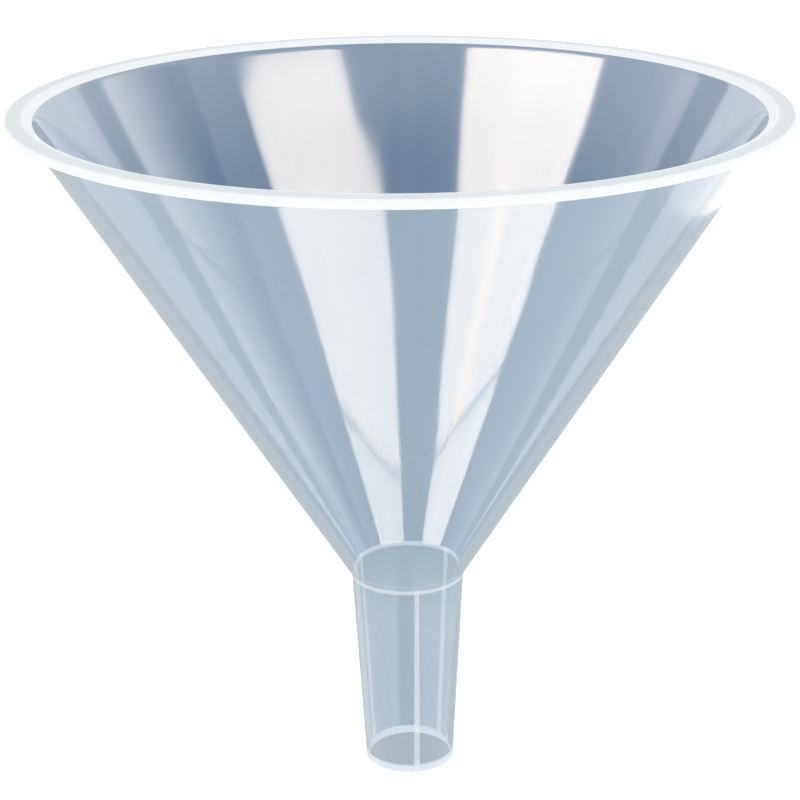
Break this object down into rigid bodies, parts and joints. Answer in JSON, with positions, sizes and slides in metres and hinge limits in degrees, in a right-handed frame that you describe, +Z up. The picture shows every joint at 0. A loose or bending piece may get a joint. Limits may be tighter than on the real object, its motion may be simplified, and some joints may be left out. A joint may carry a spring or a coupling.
{
  "type": "funnel",
  "caption": "Conical laboratory funnel with a flat rim flange and a tapered stem with raised vent ribs, in translucent plastic, for pouring liquids and powders.",
  "frame": {"origin": "on the funnel's axis, in the plane where a support ring of 100 mm bore meets the outside of the cone", "axes": "+Z up the axis, out of the wide mouth; -Z down the stem; -Y towards the front, where the first vent rib is 9 degrees to the right"},
  "size_m": [0.15, 0.15, 0.14],
  "materials": {
    "bowl_plastic": "smooth translucent polypropylene",
    "rim_plastic": "smooth translucent polypropylene, milkier where it is thick",
    "stem_plastic": "smooth translucent polypropylene",
    "rib_plastic": "smooth translucent polypropylene"
  },
  "bodies": {
    "root": {"rim_flange": "rim_plastic", "cone_bowl": "bowl_plastic", "throat_collar": "stem_plastic", "stem_tube": "stem_plastic", "vent_rib_1": "rib_plastic", "vent_rib_2": "rib_plastic", "vent_rib_3": "rib_plastic"}
  },
  "joints": []
}
